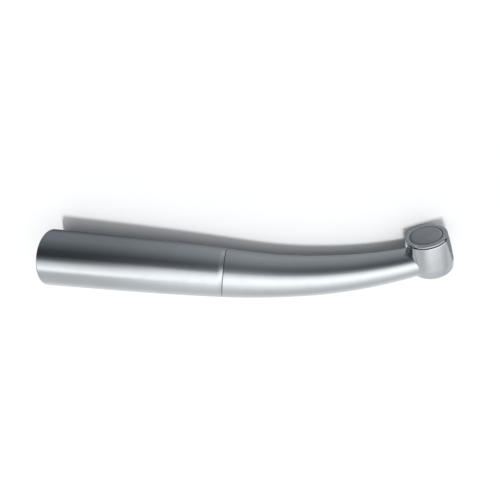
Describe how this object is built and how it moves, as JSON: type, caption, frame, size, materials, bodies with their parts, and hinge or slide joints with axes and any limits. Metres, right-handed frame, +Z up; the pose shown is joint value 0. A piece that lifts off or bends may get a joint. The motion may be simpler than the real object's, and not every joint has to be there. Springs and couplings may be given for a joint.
{
  "type": "dental contra-angle handpiece",
  "caption": "Slim contra-angle dental handpiece: straight grip with a motor socket, curved neck and a small push-button head with a geared drive train inside.",
  "frame": {"origin": "middle of the bounding box, on the surface it lies on", "axes": "+X along the grip towards the head, +Y towards the push-button side, +Z up from the surface it lies on"},
  "size_m": [0.1002, 0.0254, 0.0151],
  "materials": {
    "satin_steel": "satin",
    "bright_steel": "ground and polished",
    "dark_steel": "satin, darker",
    "brass": "turned",
    "bronze": "sintered",
    "black_rubber": "matte",
    "bearing_cage": "matte"
  },
  "bodies": {
    "grip": {"rear_sleeve": "satin_steel", "coupling_chassis": "brass", "joint_ring": "dark_steel", "sleeve_seal": "black_rubber", "neck_shell": "satin_steel", "head_casing": "satin_steel", "back_cap": "satin_steel", "rear_bearing_outer": "bright_steel", "bearing_circlip": "dark_steel", "mid_bearing_outer": "bright_steel", "bearing_nut": "brass", "neck_bearing_outer": "bright_steel", "neck_bush": "bronze", "head_lower_bearing_outer": "bright_steel", "head_upper_bearing_outer": "bright_steel", "button_spring": "bright_steel"},
    "drive_train": {"drive_shaft": "bright_steel", "drive_dog": "dark_steel", "dog_pin": "bright_steel", "drive_gear": "bright_steel", "rear_bearing_inner": "bright_steel", "mid_bearing_inner": "bright_steel"},
    "neck_train": {"neck_shaft": "bright_steel", "neck_shaft_gear": "bright_steel", "head_pinion": "bright_steel", "neck_bearing_inner": "bright_steel"},
    "spindle_train": {"spindle": "bright_steel", "spindle_gear": "bright_steel", "chuck_collet": "dark_steel", "head_lower_bearing_inner": "bright_steel", "head_upper_bearing_inner": "bright_steel"},
    "rear_cage": {"rear_bearing_balls": "bearing_cage"},
    "mid_cage": {"mid_bearing_balls": "bearing_cage"},
    "neck_cage": {"neck_bearing_balls": "bearing_cage"},
    "head_lower_cage": {"head_lower_bearing_balls": "bearing_cage"},
    "head_upper_cage": {"head_upper_bearing_balls": "bearing_cage"},
    "button": {"push_button": "dark_steel"}
  },
  "joints": [
    {"name": "drive_spin", "type": "hinge", "parent": "grip", "child": "drive_train", "pos_m": [0.00005, -0.00544, 0.00623], "axis": [0.9995, 0, -0.0318], "continuous": true},
    {"name": "neck_shaft_spin", "type": "hinge", "parent": "grip", "child": "neck_train", "pos_m": [0.01405, -0.00544, 0.00578], "axis": [0.9416, 0.3358, -0.0242], "continuous": true},
    {"name": "spindle_spin", "type": "hinge", "parent": "grip", "child": "spindle_train", "pos_m": [0.04441, 0.00539, 0.005], "axis": [-0.4424, 0.8964, 0.0292], "continuous": true},
    {"name": "rear_cage_spin", "type": "hinge", "parent": "grip", "child": "rear_cage", "pos_m": [-0.02463, -0.00544, 0.00701], "axis": [0.9995, 0, -0.0318], "continuous": true},
    {"name": "mid_cage_spin", "type": "hinge", "parent": "grip", "child": "mid_cage", "pos_m": [0.0023, -0.00544, 0.00616], "axis": [0.9995, 0, -0.0318], "continuous": true},
    {"name": "neck_cage_spin", "type": "hinge", "parent": "grip", "child": "neck_cage", "pos_m": [0.01904, -0.00366, 0.00565], "axis": [0.9416, 0.3358, -0.0242], "continuous": true},
    {"name": "head_lower_cage_spin", "type": "hinge", "parent": "grip", "child": "head_lower_cage", "pos_m": [0.04441, 0.00539, 0.005], "axis": [-0.4424, 0.8964, 0.0292], "continuous": true},
    {"name": "head_upper_cage_spin", "type": "hinge", "parent": "grip", "child": "head_upper_cage", "pos_m": [0.04441, 0.00539, 0.005], "axis": [-0.4424, 0.8964, 0.0292], "continuous": true},
    {"name": "button_press", "type": "slide", "parent": "grip", "child": "button", "axis": [0.4424, -0.8964, -0.0292], "range_m": [0, 0.00035], "stiffness_N_per_m": 3000, "springref_m": -0.001, "deforming": ["button_spring"]}
  ],
  "couplings": [
    {"joint": "neck_shaft_spin", "follows": "drive_spin", "ratio": 1},
    {"joint": "spindle_spin", "follows": "drive_spin", "ratio": 0.5},
    {"joint": "rear_cage_spin", "follows": "drive_spin", "ratio": 0.3903},
    {"joint": "mid_cage_spin", "follows": "drive_spin", "ratio": 0.3903},
    {"joint": "neck_cage_spin", "follows": "drive_spin", "ratio": 0.375},
    {"joint": "head_lower_cage_spin", "follows": "drive_spin", "ratio": 0.2126},
    {"joint": "head_upper_cage_spin", "follows": "drive_spin", "ratio": 0.2126}
  ]
}
